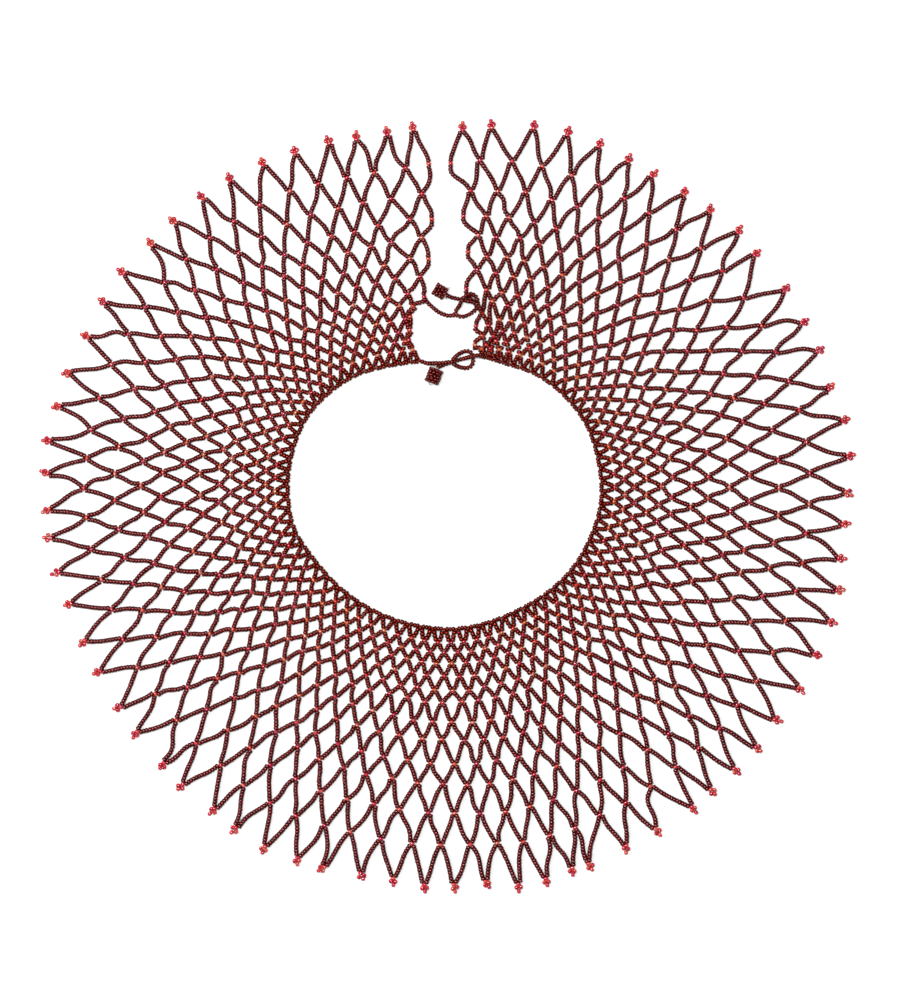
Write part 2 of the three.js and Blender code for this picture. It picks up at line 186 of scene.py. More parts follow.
@dataclass(frozen=True)
class SeedBead:
    """A round seed bead: a ring of facets with a real hole, the profile as shares of its size."""

    sides: int = 8
    along: tuple[float, ...] = (-0.5, -0.36, 0.36, 0.5)
    out: tuple[float, ...] = (0.74, 1.0, 1.0, 0.74)
    # share of painted shade at each ring of the profile: full at the ends of the hole, where neighbouring
    # beads meet, faint on the sides
    mouth_shade: tuple[float, ...] = (1.0, 0.1, 0.1, 1.0)

    def fill(self, parts: MeshParts, row: BeadRow, seed: int) -> None:
        """Adds every bead of a row to the mesh.

        A vertex is centre + along * length * axis + out * radius * (cos t * side + sin t * other),
        with t at even steps round the bead from a turn of its own.

        Args:
            parts: The mesh to fill.
            row: The beads.
            seed: Start of the row's repeatable random numbers.
        """
        random = np.random.default_rng(seed)
        count = len(row.centres)
        turn = random.uniform(0, 2 * math.pi / self.sides, count)
        angle = turn[:, None] + np.arange(self.sides) * 2 * math.pi / self.sides
        first, second = side_frames(row.axes)
        spoke = np.cos(angle)[:, :, None] * first[:, None] + np.sin(angle)[:, :, None] * second[:, None]
        radius = row.diameters[:, None, None] / 2
        along = np.array(self.along)[None, :, None, None] * (row.lengths[:, None] * row.axes)[:, None, None]
        out = np.array(self.out)[None, :, None, None] * (radius * spoke)[:, None]
        tone = random.uniform(0, 1, count)[:, None, None]
        # the third shade is the painted shade at the ends of the hole, taken from the profile
        shades = (tone, row.reach[:, None, None], np.array(self.mouth_shade)[None, :, None])
        parts.add_rings(row.centres[:, None, None] + along + out, shades, row.glass, closed=True)


STRAND_BEAD = SeedBead()
ROUNDER_BEAD = SeedBead(
    sides=10,
    along=(-0.5, -0.34, 0.0, 0.34, 0.5),
    out=(0.6, 0.94, 1.03, 0.94, 0.6),
    # painted shade: full at the ends of the hole, none at the middle
    mouth_shade=(1.0, 0.3, 0.0, 0.3, 1.0),
)


@dataclass(frozen=True)
class BeadingThread:
    """The thread through the beads: a three-sided line that follows the holes."""

    diameter: float = 0.26
    sides: int = 3
    tone: float = 0.5

    def fill(self, parts: MeshParts, paths: Array, reach: float | Array = 0.5) -> None:
        """Adds threads that follow paths of the same number of points.

        Each section is the point + radius * (cos t * side + sin t * other), joined to the next
        and closed by a flat face at both ends.

        Args:
            parts: The mesh to fill.
            paths: Points in millimetres, as paths x points x 3.
            reach: Place of the thread between neck and tips.
        """
        count, steps = paths.shape[:2]
        first, second = side_frames(unit(np.gradient(paths, axis=1)))
        angle = np.arange(self.sides) * 2 * math.pi / self.sides
        spoke = np.cos(angle)[:, None] * first[:, :, None] + np.sin(angle)[:, None] * second[:, :, None]
        points = paths[:, :, None] + spoke * self.diameter / 2
        glass = np.full(count, Glass.THREAD.value)
        start = parts.add_rings(points, (self.tone, np.mean(reach), 0.0), glass, closed=False)
        last = (steps - 1) * self.sides
        ends = np.array([[0, 2, 1], [last, last + 1, last + 2]])
        parts.triangles.append((ends[None] + start).reshape(-1, 3))


THREAD = BeadingThread()
BARE_THREAD = BeadingThread(diameter=0.5)


def build_piece(name: str, parts: MeshParts, materials: Materials) -> bpy.types.Object:
    """Turns gathered parts into one mesh object at the origin.

    Args:
        name: The piece's name.
        parts: The vertices, faces and values, in millimetres.
        materials: Dark glass, clear red glass and thread, in that order.

    Returns:
        The new object, linked to the scene.
    """
    points = np.concatenate(parts.points) * MM
    quads = np.concatenate(parts.quads)
    triangles = np.concatenate(parts.triangles) if parts.triangles else np.zeros((0, 3), int)
    mesh = bpy.data.meshes.new(name)
    mesh.vertices.add(len(points))
    mesh.vertices.foreach_set("co", points.astype(np.float32).ravel())
    corners = np.concatenate([quads.ravel(), triangles.ravel()]).astype(np.int32)
    starts = np.concatenate([np.arange(len(quads)) * 4, len(quads) * 4 + np.arange(len(triangles)) * 3])
    mesh.loops.add(len(corners))
    mesh.loops.foreach_set("vertex_index", corners)
    mesh.polygons.add(len(starts))
    mesh.polygons.foreach_set("loop_start", starts.astype(np.int32))
    glass = np.concatenate([*parts.quad_glass, np.full(len(triangles), Glass.THREAD.value)])
    mesh.polygons.foreach_set("material_index", glass.astype(np.int32))
    mesh.polygons.foreach_set("use_smooth", np.ones(len(starts), bool))
    mesh.update(calc_edges=True)
    mesh.validate()
    # the third attribute holds the share of painted shade at the ends of each hole
    for key, values in (("bead_tone", parts.tone), ("bead_reach", parts.reach), ("bead_mouth_shade", parts.mouth_shade)):
        layer = mesh.attributes.new(key, "FLOAT", "POINT")
        layer.data.foreach_set("value", np.concatenate(values).astype(np.float32))
    for material in materials:
        mesh.materials.append(material)
    piece = bpy.data.objects.new(name, mesh)
    bpy.context.scene.collection.objects.link(piece)
    return piece


@dataclass(frozen=True)
class Station:
    """The collar at one column: bearings in degrees clockwise from the back, radii in millimetres."""

    column: float
    neck_bearing: float
    neck_radius: float
    tip_bearing: float
    tip_radius: float


STATIONS = (
    Station(-0.5, 12.5, 68, -1, 170.5),
    Station(3, 23.5, 68.5, 18, 176.5),
    Station(6, 35.5, 71, 32.5, 177),
    Station(9, 49.5, 72.5, 47.5, 181),
    Station(12, 62.5, 73, 63.5, 182),
    Station(15, 76, 72, 78.5, 184.5),
    Station(18, 90, 71, 93.5, 183),
    Station(21, 104, 68.5, 107.5, 183.5),
    Station(24, 118, 66, 123.5, 182),
    Station(27, 132.5, 63, 137.5, 180.5),
    Station(30, 147, 60.5, 152.5, 179.5),
    Station(33, 162.5, 59.5, 165.5, 179.5),
    Station(36, 178.5, 59.5, 178.5, 176.5),
    Station(39, 194.5, 59.5, 193.5, 176.5),
    Station(42, 212, 61, 207.5, 179),
    Station(45, 228.5, 63.5, 222.5, 177.5),
    Station(48, 245.5, 67, 238, 178.5),
    Station(51, 259, 71.5, 254, 179.5),
    Station(54, 273.5, 73.5, 269, 183),
    Station(57, 286.5, 74.5, 283.5, 183.5),
    Station(60, 300, 75, 300, 181),
    Station(63, 312, 73.5, 315.5, 179),
    Station(66, 324.5, 71, 331, 176),
    Station(69, 338, 67, 346, 170.5),
    Station(71.5, 349, 65, 359, 170.5),
)


@dataclass(frozen=True)
class Nudge:
    """A crossing beside the slit that lies off the even plan, and how far, in millimetres."""

    column: float
    row: int
    x: float
    y: float


NUDGES = (
    Nudge(71, 13, 1.2, 1.7),
    Nudge(71.5, 12, -3.3, 0),
    Nudge(71, 11, 2.1, 0.2),
    Nudge(71.5, 10, 2.1, 0.8),
    Nudge(70.5, 10, 3.4, 1.4),
    Nudge(71, 9, 3.1, 0.9),
    Nudge(71.5, 8, 1.6, -0.3),
    Nudge(70.5, 8, 2.7, 0.9),
    Nudge(71, 7, 3, 0),
    Nudge(71.5, 6, 1, -1.5),
    Nudge(70.5, 6, 0.7, 0.9),
    Nudge(71, 5, 1.2, -0.2),
    Nudge(70, 5, 1, 1.3),
    Nudge(71.5, 4, -0.1, 1.6),
    Nudge(70.5, 4, 0.5, 0.3),
    Nudge(71, 3, 0.8, 0.5),
    Nudge(71.5, 2, -1.3, 0.6),
    Nudge(0, 13, 3.1, -2.3),
    Nudge(-0.5, 10, 1, 0),
    Nudge(0, 9, 1.3, 0),
    Nudge(-0.5, 8, -0.3, 2.2),
    Nudge(0, 7, -1.2, 1.2),
    Nudge(-0.5, 6, -2.5, 0.7),
    Nudge(0, 5, 0.9, -3.7),
    Nudge(1, 5, -0.4, 2),
    Nudge(-0.5, 4, 0.4, -0.6),
    Nudge(0.5, 4, 1.1, -2.9),
    Nudge(0, 3, 0.5, -0.8),
    Nudge(1, 3, 0.7, -2.5),
    Nudge(-0.5, 2, -1.1, 0.5),
    Nudge(0.5, 2, 0, -1.8),
)


@dataclass(frozen=True)
class NetPlan:
    """The plan of the net, the same as the solids': where each crossing of the strands lies."""

    neck_centre: tuple[float, float] = (-0.5, 3.7)
    first_column: float = -0.5
    last_column: float = 71.5
    tip_row: int = 13
    row_share: tuple[float, ...] = (
        0, 0.052, 0.093, 0.135, 0.186, 0.24, 0.288, 0.365, 0.438, 0.527, 0.609, 0.723, 0.848, 1,
    )
    turn_power: float = 0.7
    gather_share: float = 0.06
    gather_columns: float = 1.4
    tuck_bearing: float = 4
    tuck_columns: float = 0.8
    drawn_rows: int = 6
    uneven_crossing: float = 0.55
    uneven_bearing: float = 0.5
    uneven_radius: float = 1.2
    uneven_waves: Point = (12.9898, 78.233, 37.719)
    uneven_size: float = 437.585
    stray_columns: tuple[int, ...] = (10, 28, 31, 51, 68, 71)
    stray_turns: tuple[float, ...] = (-1.4, -1, 2.2, 0.8, 1.2, -1.6)

    def station(self, column: Array, key: str) -> Array:
        """One station value at each column, by a cubic through the stations with matched slopes.

        Args:
            column: Columns.
            key: Name of the station's value.

        Returns:
            The values.
        """
        at, value = (np.array([getattr(s, k) for s in STATIONS], float) for k in ("column", key))
        last = len(at) - 1
        i = np.clip(np.searchsorted(at, column, side="left") - 1, 0, last - 1)
        j, before, after = i + 1, np.maximum(i - 1, 0), np.minimum(i + 2, last)
        span = at[j] - at[i]
        slope_a = (value[j] - value[before]) / (at[j] - at[before]) * span
        slope_b = (value[after] - value[i]) / (at[after] - at[i]) * span
        return cubic((column - at[i]) / span, value[i], value[j] - value[i], slope_a, slope_b)

    def polar(self, bearing: Array, radius: Array) -> Array:
        """Points at bearings (degrees clockwise from the back) and distances from the neck centre."""
        angle, (x, y) = np.radians(bearing), self.neck_centre
        return np.stack([x + radius * np.sin(angle), y + radius * np.cos(angle)], -1)

    def uneven(self, column: Array, row: Array, axis: int) -> Array:
        """A repeatable number from -1 to 1 for each crossing: the fraction left by a large sine."""
        turned = self.uneven_size * np.sin(sum(a * b for a, b in zip((column, row, axis), self.uneven_waves)))
        return 2 * (turned - np.floor(turned)) - 1

    def crossings(self, column: Array, row: Array) -> Array:
        """Where crossings lie, in millimetres, in the frame of the model.

        Bearing and radius go from the neckband's to the tip's, the radius by the row's share and
        the bearing by that share to a power, with the first columns drawn in, the last ones tucked
        in, and each crossing a little off its even place.

        Args:
            column: Column of each crossing.
            row: Row of each crossing, 0 at the neckband.

        Returns:
            The points, one a row.
        """
        column, row = np.broadcast_arrays(np.asarray(column, float), np.asarray(row, int))
        wave = np.where(row < self.drawn_rows, np.sin(math.pi * row / self.drawn_rows), 0)
        share = np.array(self.row_share)[row]
        near_first = np.exp(-(column - self.first_column) / self.gather_columns)
        near_last = np.exp(-(self.last_column - column) / self.tuck_columns)
        share = share - self.gather_share * wave * near_first
        turn = np.maximum(share, 0) ** self.turn_power
        neck_b, tip_b = self.station(column, "neck_bearing"), self.station(column, "tip_bearing")
        neck_r, tip_r = self.station(column, "neck_radius"), self.station(column, "tip_radius")
        bearing = neck_b + (tip_b - neck_b) * turn
        bearing = bearing - self.tuck_bearing * wave * near_last
        radius = neck_r + (tip_r - neck_r) * share
        is_tip = row == self.tip_row
        stray = np.zeros_like(column)
        for stray_column, stray_turn in zip(self.stray_columns, self.stray_turns):
            stray = np.where(column == stray_column, stray_turn, stray)
        bearing = bearing + np.where(is_tip, self.uneven_bearing * self.uneven(column, row, 0) + stray, 0)
        radius = radius + np.where(is_tip, self.uneven_radius * self.uneven(column, row, 1), 0)
        shift = np.where(is_tip, 0, self.uneven_crossing * np.minimum(1, row / self.drawn_rows))
        wander = np.stack([self.uneven(column, row, 0), self.uneven(column, row, 1)], -1)
        place = self.polar(bearing, radius) + shift[..., None] * wander - MIDDLE
        for nudge in NUDGES:
            here = (column == nudge.column) & (row == nudge.row)
            place = place + here[..., None] * np.array([nudge.x, nudge.y])
        return place

    def holds(self, column: Array) -> Array:
        """Whether the net has columns at these places."""
        return (column >= self.first_column) & (column <= self.last_column)

    def at_slit(self, column: Array) -> Array:
        """Whether columns are the two edges of the slit."""
        return (column == self.first_column) | (column == self.last_column)

    def neck_points(self, column: Array, out: float | Array = 0.0) -> Array:
        """Points along the neckband's centre line, moved out by a distance."""
        radius = self.station(column, "neck_radius") + out
        return self.polar(self.station(column, "neck_bearing"), radius) - MIDDLE

    def outward(self, points: Array) -> Array:
        """Unit directions away from the neck centre at points."""
        return unit(points - (np.array(self.neck_centre) - MIDDLE))


PLAN = NetPlan()


def clockwise(out: Array) -> Array:
    """Directions a quarter turn clockwise of plan directions: (x, y) becomes (y, -x)."""
    return np.stack([out[..., 1], -out[..., 0]], -1)


def raised(plan_points: Array, height: float | Array) -> Array:
    """Plan points with a height added as the third coordinate."""
    return np.concatenate([plan_points, np.broadcast_to(height, plan_points.shape[:-1])[..., None]], -1)


@dataclass(frozen=True)
class Picot:
    """Three red beads hung from a tip's own bead: a pair and an end bead."""

    pair_out: float = 1.5
    pair_half: float = 1.0
    end_out: float = 3.1
    rest: float = 1.2
    bead_length: float = 1.6
    bead_diameter: float = 2.2
    lean: float = 0.75
    swing: float = 0.28
    scatter: float = 0.16
    pair_tip: tuple[float, float] = (0.35, 1.1)
    end_tip: float = 0.2
    lift: float = 0.25
    sizes: tuple[float, float] = (0.93, 1.03)

    def beads(self, tips: Array, seed: int) -> BeadRow:
        """Beads of the picots at some tips, each picot swung and tipped a little its own way.

        Args:
            tips: Plan points of the tips.
            seed: Start of the random numbers.

        Returns:
            The beads.
        """
        random, count = np.random.default_rng(seed), len(tips)
        swing = random.normal(0, self.swing, count)[:, None]
        out = PLAN.outward(tips)
        down = np.cos(swing) * out + np.sin(swing) * clockwise(out)
        across = clockwise(down)
        pair = ((self.pair_out, self.pair_half, self.lean), (self.pair_out, -self.pair_half, -self.lean))
        rows = []
        for along, aside, lean in (*pair, (self.end_out, 0.0, 0.0)):
            wobble = random.normal(0, self.scatter, (count, 2))
            centre = tips + (along + wobble[:, :1]) * down + (aside + wobble[:, 1:]) * across
            flat = down * (1 - abs(lean) * 0.4) - lean * 0.5 * across if lean else across
            tip_up = random.uniform(*self.pair_tip, count) if lean else random.normal(0, self.end_tip, count)
            centre = raised(centre, self.rest + random.uniform(0, self.lift, count))
            size = self.bead_diameter * random.uniform(*self.sizes, count)
            rows.append(BeadRow(centre, raised(flat, tip_up), self.bead_length, size, Glass.CLEAR_RED, 1.0))
        return BeadRow.joined(rows)


@dataclass(frozen=True)
class Neckband:
    """The rope round the neck: four beads to each column, every fourth drawn out by the net."""

    beads_per_column: int = 4
    bead_diameter: float = 2.28
    rest: float = 1.21
    drop: float = 0.45
    draw_in: float = 0.1
    scatter: float = 0.05
    lift: float = 0.12
    fullness: float = 0.97
    sizes: tuple[float, float] = (0.96, 1.03)
    seed: int = 17

    def build(self, materials: Materials) -> None:
        """Makes the rope in place of its solid.

        Args:
            materials: Dark glass, clear red glass and thread.
        """
        random = np.random.default_rng(self.seed)
        count = int(self.beads_per_column * (PLAN.last_column - PLAN.first_column)) + 1
        column = np.linspace(PLAN.first_column, PLAN.last_column, count)
        out = np.where(np.arange(count) % self.beads_per_column == 0, self.drop, -self.draw_in)
        plan = PLAN.neck_points(column, out) + random.normal(0, self.scatter, (count, 2))
        points = raised(plan, self.rest + random.uniform(0, self.lift, count))
        step = np.linalg.norm(np.diff(points, axis=0), axis=1)
        length = (np.append(step, step[-1]) + np.insert(step, 0, step[0])) / 2 * self.fullness
        size = self.bead_diameter * random.uniform(*self.sizes, count)
        parts = MeshParts()
        row = BeadRow(points, np.gradient(points, axis=0), length, size, Glass.DARK, 0.0)
        ROUNDER_BEAD.fill(parts, row, self.seed + 1)
        THREAD.fill(parts, points[None], 0.0)
        piece = build_piece("beads_neckband", parts, materials)
        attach(piece, "root")
        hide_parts("neckband")
        LOG.info("%s: %d beads", piece.name, count)


NECKBAND = Neckband()


@dataclass(frozen=True)
class Net:
    """The net of bead strands, built in twelve sectors."""

    sectors: int = 12
    columns: int = 72
    leg_beads: tuple[int, ...] = (3, 3, 3, 4, 4, 4, 6, 6, 7, 7, 9, 10, 12)
    bead_length: float = 1.62
    bead_diameter: float = 2.32
    bead_spacing: float = 1.4
    spare_beads: int = 5
    rest: float = 1.21
    crossing_lift: float = 0.3
    first_out: float = 1.25
    first_side: float = 1.1
    corner_out_share: float = 0.27
    corner_out_most: float = 1.28
    corner_side_share: float = 0.3
    corner_side_most: float = 1.02
    corner_side_least: float = 0.15
    line_points: int = 33
    bow: float = 0.045
    ripple: float = 0.0225
    straight_under: tuple[float, float] = (5, 6)
    rise_step: float = 2.3
    rise: float = 0.2
    lift: float = 0.12
    tilt: float = 0.07
    crossing_tilt: float = 0.2
    lengths: tuple[float, float] = (0.95, 1.0)
    sizes: tuple[float, float] = (0.94, 1.04)
    crossing_sizes: tuple[float, float] = (0.97, 1.06)
    leg_reach: tuple[float, float] = (0.1, 0.9)
    knot_gap: Point = (0.05, 0.05, 0)
    seeds: tuple[int, int, int, int] = (100, 200, 300, 400)
    picot: Picot = Picot()

    @property
    def per_sector(self) -> int:
        """Columns in one sector."""
        return self.columns // self.sectors

    def row_columns(self, row: int, sector: int) -> Array:
        """Columns of a row's crossings that belong to a sector.

        Args:
            row: The row; even rows lie at half columns.
            sector: The sector's number from 0.

        Returns:
            The columns.
        """
        first = sector * self.per_sector
        if row % 2:
            return np.arange(first, first + self.per_sector, dtype=float)
        extra = 1 if sector == self.sectors - 1 else 0
        return np.arange(self.per_sector + extra) + first - 0.5

    def places(self, column: Array, row: int) -> Array:
        """Where crossing beads lie; those of row 0 are the neckband's own dropped beads.

        Args:
            column: Columns of the beads.
            row: Their row.

        Returns:
            Their plan points.
        """
        if row == 0:
            return PLAN.neck_points(column, NECKBAND.drop)
        return PLAN.crossings(column, np.full(len(column), row))

    def legs(self, sector: int, row: int) -> tuple[Array, Array]:
        """Columns and sides of the legs from one row to the next that belong to a sector.

        Args:
            sector: The sector's number.
            row: The inner row of the legs.

        Returns:
            The inner columns, and +1 or -1 for the way each leg leans.
        """
        first = sector * self.per_sector
        wide = np.arange(first - 1, first + self.per_sector + 1) + (0 if row % 2 else 0.5)
        column, side = np.repeat(wide, 2), np.tile([-1.0, 1.0], len(wide))
        end, middle = column + side / 2, column + side / 4
        inside = PLAN.holds(column) & PLAN.holds(end)
        mine = np.floor((middle + 0.5) / self.per_sector) == sector
        return column[inside & mine], side[inside & mine]

    def leg_lines(self, column: Array, side: Array, row: int, random: np.random.Generator) -> Array:
        """The line of each leg, as closely spaced plan points.

        The line is the smooth cubic between two crossings that follows the strand on either side,
        which at the slit turns back into the net. It is moved at each end to the corner beside the
        crossing bead, and bowed by a part of a sine.

        Args:
            column: Inner column of each leg.
            side: The way each leg leans.
            row: The inner row.
            random: Source of repeatable random numbers.

        Returns:
            Points as legs x steps x 2.
        """
        a, b = self.places(column, row), self.places(column + side / 2, row + 1)
        before_column = np.where(PLAN.holds(column - side / 2), column - side / 2, column + side / 2)
        after_column = np.where(PLAN.holds(column + side), column + side, column)
        before = PLAN.crossings(before_column, row - 1) if row else 2 * a - b
        after = PLAN.crossings(after_column, row + 2) if row + 1 < PLAN.tip_row else 2 * b - a
        slope_a, slope_b = (b - before) / 2, (after - a) / 2
        t = np.linspace(0, 1, self.line_points)[None, :, None]
        line = cubic(t, a[:, None], (b - a)[:, None], slope_a[:, None], slope_b[:, None])
        run = np.linalg.norm(b - a, axis=-1)
        corner = []
        ends = ((a, row == 0, PLAN.at_slit(column)), (b, False, PLAN.at_slit(column + side / 2)))
        for point, at_neck, at_slit in ends:
            out = PLAN.outward(point)
            across = clockwise(out) * side[:, None]
            along, aside = (np.abs(np.sum((b - a) * way, -1))[:, None] for way in (out, across))
            corner_out = np.minimum(self.corner_out_most, self.corner_out_share * along)
            wanted = self.corner_side_share * aside + self.corner_side_least
            corner_side = np.minimum(self.corner_side_most, wanted)
            if at_neck:
                corner_out, corner_side = self.first_out, self.first_side
            else:
                corner_out = np.where(at_slit[:, None], self.bead_spacing, corner_out)
                corner_side = np.where(at_slit[:, None], 0, corner_side)
            corner.append(across * corner_side + out * corner_out)
        line = line + (1 - t) * corner[0][:, None] - t * corner[1][:, None]
        bow_under, ripple_under = self.straight_under
        bow = random.normal(0, self.bow, len(column)) * np.maximum(run - bow_under, 0)
        ripple = random.normal(0, self.ripple, len(column)) * np.maximum(run - ripple_under, 0)
        wave = math.pi * t[..., 0]
        sway = bow[:, None] * np.sin(wave) + ripple[:, None] * np.sin(2 * wave)
        return line - sway[..., None] * clockwise(unit(b - a))[:, None]

    def leg_groups(
        self, column: Array, side: Array, row: int, random: np.random.Generator
    ) -> list[tuple[Array, Array]]:
        """Bead centres along each leg, the legs grouped by how many beads they take.

        A leg has its row's number of beads, or as many more as its length of arc needs to have the
        beads touch, and they are spaced evenly along that arc.

        Args:
            column: Inner column of each leg.
            side: The way each leg leans.
            row: The inner row.
            random: Source of repeatable random numbers.

        Returns:
            For each group, which legs it holds and their centres as legs x beads x 3.
        """
        line = self.leg_lines(column, side, row, random)
        step = np.linalg.norm(np.diff(line, axis=1), axis=-1)
        arc = np.concatenate([np.zeros((len(line), 1)), np.cumsum(step, axis=1)], axis=1)
        least = self.leg_beads[row]
        wanted = np.round(arc[:, -1] / self.bead_spacing).astype(int) + 1
        wanted = np.clip(wanted, max(2, least - 2), least + self.spare_beads)
        groups = []
        for beads in np.unique(wanted):
            legs = np.flatnonzero(wanted == beads)
            at = np.linspace(0, 1, beads)[None] * arc[legs, -1:]
            after = np.clip((arc[legs][:, None] < at[..., None]).sum(-1), 1, arc.shape[1] - 1)
            low, high = (np.take_along_axis(arc[legs], k, 1) for k in (after - 1, after))
            share = ((at - low) / (high - low))[..., None]
            start, end = (np.take_along_axis(line[legs], k[..., None], 1) for k in (after - 1, after))
            turn = random.uniform(0, 6, len(legs))[:, None]
            height = self.rest + self.rise * np.abs(np.sin(self.rise_step * np.arange(beads)[None] + turn))
            groups.append((legs, raised(start + share * (end - start), height)))
        return groups

    def leg_row(self, centres: Array, row: int, random: np.random.Generator) -> BeadRow:
        """Beads at a group of legs' centres, each a little off in length, size and tilt.

        Args:
            centres: Centres as legs x beads x 3.
            row: The inner row of the legs.
            random: Source of repeatable random numbers.

        Returns:
            The beads.
        """
        legs, beads = centres.shape[:2]
        step = np.linalg.norm(np.diff(centres, axis=1), axis=-1)
        before, after = (np.pad(step, ((0, 0), ends), mode="edge") for ends in ((1, 0), (0, 1)))
        near = np.minimum(before, after).ravel()
        length = np.minimum(self.bead_length, near) * random.uniform(*self.lengths, legs * beads)
        size = self.bead_diameter * random.uniform(*self.sizes, legs * beads)
        axes = unit(np.gradient(centres, axis=1).reshape(-1, 3))
        reach = np.tile((row + np.linspace(*self.leg_reach, beads)) / PLAN.tip_row, legs)
        tilt = random.normal(0, self.tilt, axes.shape)
        return BeadRow(centres.reshape(-1, 3), axes + tilt, length, size, Glass.DARK, reach)

    def sector_parts(self, sector: int) -> tuple[MeshParts, int]:
        """Every bead and thread of one sector.

        Args:
            sector: The sector's number.

        Returns:
            The mesh parts and the number of beads.
        """
        own, strand_seed, picot_seed, crossing_seed = (seed + sector for seed in self.seeds)
        random, lift = np.random.default_rng(own), self.rest + self.crossing_lift
        parts, rows, reds = MeshParts(), [], []
        for row in range(1, PLAN.tip_row + 1):
            column = self.row_columns(row, sector)
            place = self.places(column, row)
            along = PLAN.outward(place) + random.normal(0, self.crossing_tilt, place.shape)
            size = self.bead_diameter * random.uniform(*self.crossing_sizes, len(column))
            centres = raised(place, lift + random.uniform(0, self.lift, len(column)))
            reach = row / PLAN.tip_row
            reds.append(BeadRow(centres, raised(along, 0), self.bead_spacing, size, Glass.CLEAR_RED, reach))
        for row in range(PLAN.tip_row):
            column, side = self.legs(sector, row)
            for legs, centres in self.leg_groups(column, side, row, random):
                rows.append(self.leg_row(centres, row, random))
                a = raised(self.places(column[legs], row), lift if row else NECKBAND.rest)[:, None]
                b = raised(self.places((column + side / 2)[legs], row + 1), lift)[:, None]
                THREAD.fill(parts, np.concatenate([a, centres, b], axis=1), (row + 0.5) / PLAN.tip_row)
        strands, crossings = BeadRow.joined(rows), BeadRow.joined(reds)
        STRAND_BEAD.fill(parts, strands, strand_seed)
        tips = self.places(self.row_columns(PLAN.tip_row, sector), PLAN.tip_row)
        picots = self.picot.beads(tips, picot_seed)
        ROUNDER_BEAD.fill(parts, BeadRow.joined([crossings, picots]), crossing_seed)
        pair_a, pair_b, end = picots.centres.reshape(3, -1, 3)
        base = raised(tips, lift)
        THREAD.fill(parts, np.stack([base, pair_a, end, pair_b, base + self.knot_gap], axis=1), 1.0)
        return parts, len(strands.centres) + len(crossings.centres) + len(picots.centres)

    def cut(self, sector: int) -> tuple[tuple[float, float], float]:
        """Flat size and area of one sector, in metres and square metres.

        The outline runs out along one seam, back from tip to tip and in along the other seam, and
        its area is half the sum of the cross products of neighbouring corners.

        Args:
            sector: The sector's number.

        Returns:
            ((width, length), area).
        """
        first = sector * self.per_sector - 0.5
        last = first + self.per_sector
        rows = np.arange(0, PLAN.tip_row, 2)
        seam_in = PLAN.crossings(np.full(len(rows), first), rows)
        seam_out = PLAN.crossings(np.full(len(rows), last), rows)[::-1]
        tips = PLAN.crossings(np.arange(first + 0.5, last), PLAN.tip_row)
        neck = PLAN.neck_points(np.arange(first, last + 1))[::-1]
        outline = np.concatenate([seam_in, tips, seam_out, neck])
        following = np.roll(outline, -1, axis=0)
        area = 0.5 * abs(np.sum(outline[:, 0] * following[:, 1] - outline[:, 1] * following[:, 0]))
        out = PLAN.outward(outline.mean(0)[None])[0]
        width, length = np.ptp(outline @ clockwise(out)), np.ptp(outline @ out)
        return (width * MM, length * MM), area * MM * MM

    def build(self, materials: Materials) -> None:
        """Makes the twelve sectors, each in place of its solid.

        Args:
            materials: Dark glass, clear red glass and thread.
        """
        for sector in range(self.sectors):
            node = f"net_{sector + 1:02d}"
            parts, beads = self.sector_parts(sector)
            piece = build_piece(f"beads_{node}", parts, materials)
            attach(piece, "root")
            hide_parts(node)
            flat, area = self.cut(sector)
            LOG.info("%s: %d beads, flat %.0f x %.0f mm", piece.name, beads, flat[0] / MM, flat[1] / MM)


STRAND_REST = 1.15  # height of a strand's thread above the table, mm
STEPS_BETWEEN = 24  # points of the curve from one place to the next


def smooth_run(table: Places, spacing: float, joined: bool) -> Array:
    """Evenly spaced points on a smooth curve through a short table of places.

    Between two places the curve is the cubic whose slope at each place is half the step between
    the places on either side. It is then cut into equal lengths of arc.

    Args:
        table: Places (x, y, z) in millimetres, before the shift to the collar's middle.
        spacing: Wanted distance between points.
        joined: Whether the curve closes on itself.

    Returns:
        The points, at least a strand's height above the table.
    """
    places = np.array(table, float)
    if joined:
        padded = np.concatenate([places[-1:], places, places[:2]])
    else:
        padded = np.concatenate([2 * places[:1] - places[1:2], places, 2 * places[-1:] - places[-2:-1]])
    p0, p1, p2, p3 = padded[:-3], padded[1:-2], padded[2:-1], padded[3:]
    t = np.linspace(0, 1, STEPS_BETWEEN + 1)[:-1][None, :, None]
    slope_a, slope_b = (p2 - p0)[:, None] / 2, (p3 - p1)[:, None] / 2
    curve = cubic(t, p1[:, None], (p2 - p1)[:, None], slope_a, slope_b).reshape(-1, 3)
    curve = np.concatenate([curve, places[:1] if joined else places[-1:]])
    arc = np.concatenate([[0], np.cumsum(np.linalg.norm(np.diff(curve, axis=0), axis=1))])
    count = max(3, round(arc[-1] / spacing))
    at = np.linspace(0, arc[-1], count + 1)[: count if joined else count + 1]
    points = np.stack([np.interp(at, arc, curve[:, k]) for k in range(3)], axis=1)
    points[:, 2] = np.maximum(points[:, 2], STRAND_REST)
    points[:, :2] -= MIDDLE
    return points


